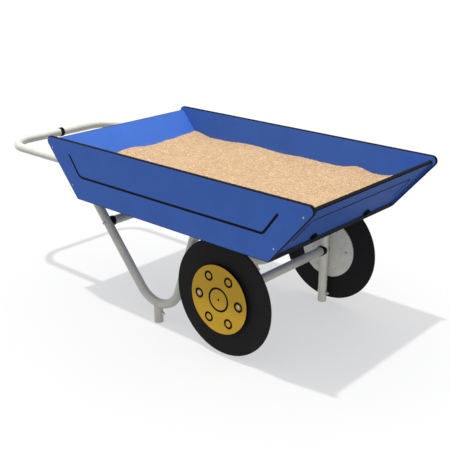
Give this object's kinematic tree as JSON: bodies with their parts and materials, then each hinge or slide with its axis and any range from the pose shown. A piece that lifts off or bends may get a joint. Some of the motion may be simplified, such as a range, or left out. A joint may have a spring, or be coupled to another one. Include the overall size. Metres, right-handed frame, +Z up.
{
  "type": "sand play cart",
  "caption": "Playground sand cart: sheet tray full of sand on a bent tube frame with a looped handle, fixed feet and two turning disc wheels.",
  "frame": {"origin": "on the ground, under the middle of the whole cart's length and width", "axes": "+X towards the nose of the tray, away from the handle; +Y to the left of someone at the handle; +Z up"},
  "size_m": [2.3514, 1.032, 0.915],
  "materials": {
    "blue_sheet": "fine satin texture, black core showing on edges and in grooves",
    "sand": "fine dry play sand",
    "zinc_steel": "zinc plated",
    "stainless": "satin stainless",
    "cap_plastic": "moulded cap",
    "black_rubber": "matt",
    "white_tube": "powder coated, satin",
    "black_plastic": "moulded",
    "black_sheet": "fine satin texture",
    "yellow_sheet": "fine satin texture, black core showing in grooves",
    "grey_sheet": "fine satin texture",
    "bush_plastic": "self-lubricating"
  },
  "bodies": {
    "root": {"side_panel_left": "blue_sheet", "side_panel_right": "blue_sheet", "front_panel": "blue_sheet", "rear_panel": "blue_sheet", "floor_panel": "blue_sheet", "sand_fill": "sand", "floor_angle_left": "zinc_steel", "floor_angle_right": "zinc_steel", "leg_spigots": "zinc_steel", "handle_spigot": "zinc_steel", "foot_sleeves": "zinc_steel", "front_inserts": "zinc_steel", "rear_inserts": "zinc_steel", "floor_angle_screws": "stainless", "end_panel_screws": "stainless", "bumper_screws": "stainless", "tray_bolts": "stainless", "tray_nuts": "stainless", "rear_panel_bolts": "stainless", "rear_panel_nuts": "stainless", "rear_cross_bolts": "stainless", "foot_bolts": "stainless", "foot_nuts": "stainless", "wheel_axles": "stainless", "axle_spacers": "stainless", "axle_washers": "stainless", "axle_nuts": "stainless", "screw_caps": "cap_plastic", "front_bumpers": "black_rubber", "handle_tube_left": "white_tube", "handle_tube_right": "white_tube", "leg_tube_left": "white_tube", "leg_tube_right": "white_tube", "front_post_left": "white_tube", "front_post_right": "white_tube", "rear_foot_left": "white_tube", "rear_foot_right": "white_tube", "front_cross_tube": "white_tube", "rear_cross_tube": "white_tube", "handle_joiner": "black_plastic", "front_saddles": "black_plastic", "rear_saddles": "black_plastic", "run_caps": "black_plastic", "rear_panel_spacers": "black_plastic"},
    "wheel_left": {"wheel_bolts_left": "stainless", "wheel_nuts_left": "stainless", "wheel_screws_left": "stainless", "tyre_disc_left": "black_sheet", "spacer_disc_left": "black_sheet", "hub_disc_left": "yellow_sheet", "inner_disc_left": "grey_sheet", "wheel_bush_left": "bush_plastic"},
    "wheel_right": {"wheel_bolts_right": "stainless", "wheel_nuts_right": "stainless", "wheel_screws_right": "stainless", "tyre_disc_right": "black_sheet", "spacer_disc_right": "black_sheet", "hub_disc_right": "yellow_sheet", "inner_disc_right": "grey_sheet", "wheel_bush_right": "bush_plastic"}
  },
  "joints": [
    {"name": "wheel_left_spin", "type": "hinge", "parent": "root", "child": "wheel_left", "pos_m": [0.61412, 0.44, 0.3077], "axis": [0, 1, 0], "continuous": true},
    {"name": "wheel_right_spin", "type": "hinge", "parent": "root", "child": "wheel_right", "pos_m": [0.61412, -0.44, 0.3077], "axis": [0, 1, 0], "continuous": true}
  ]
}
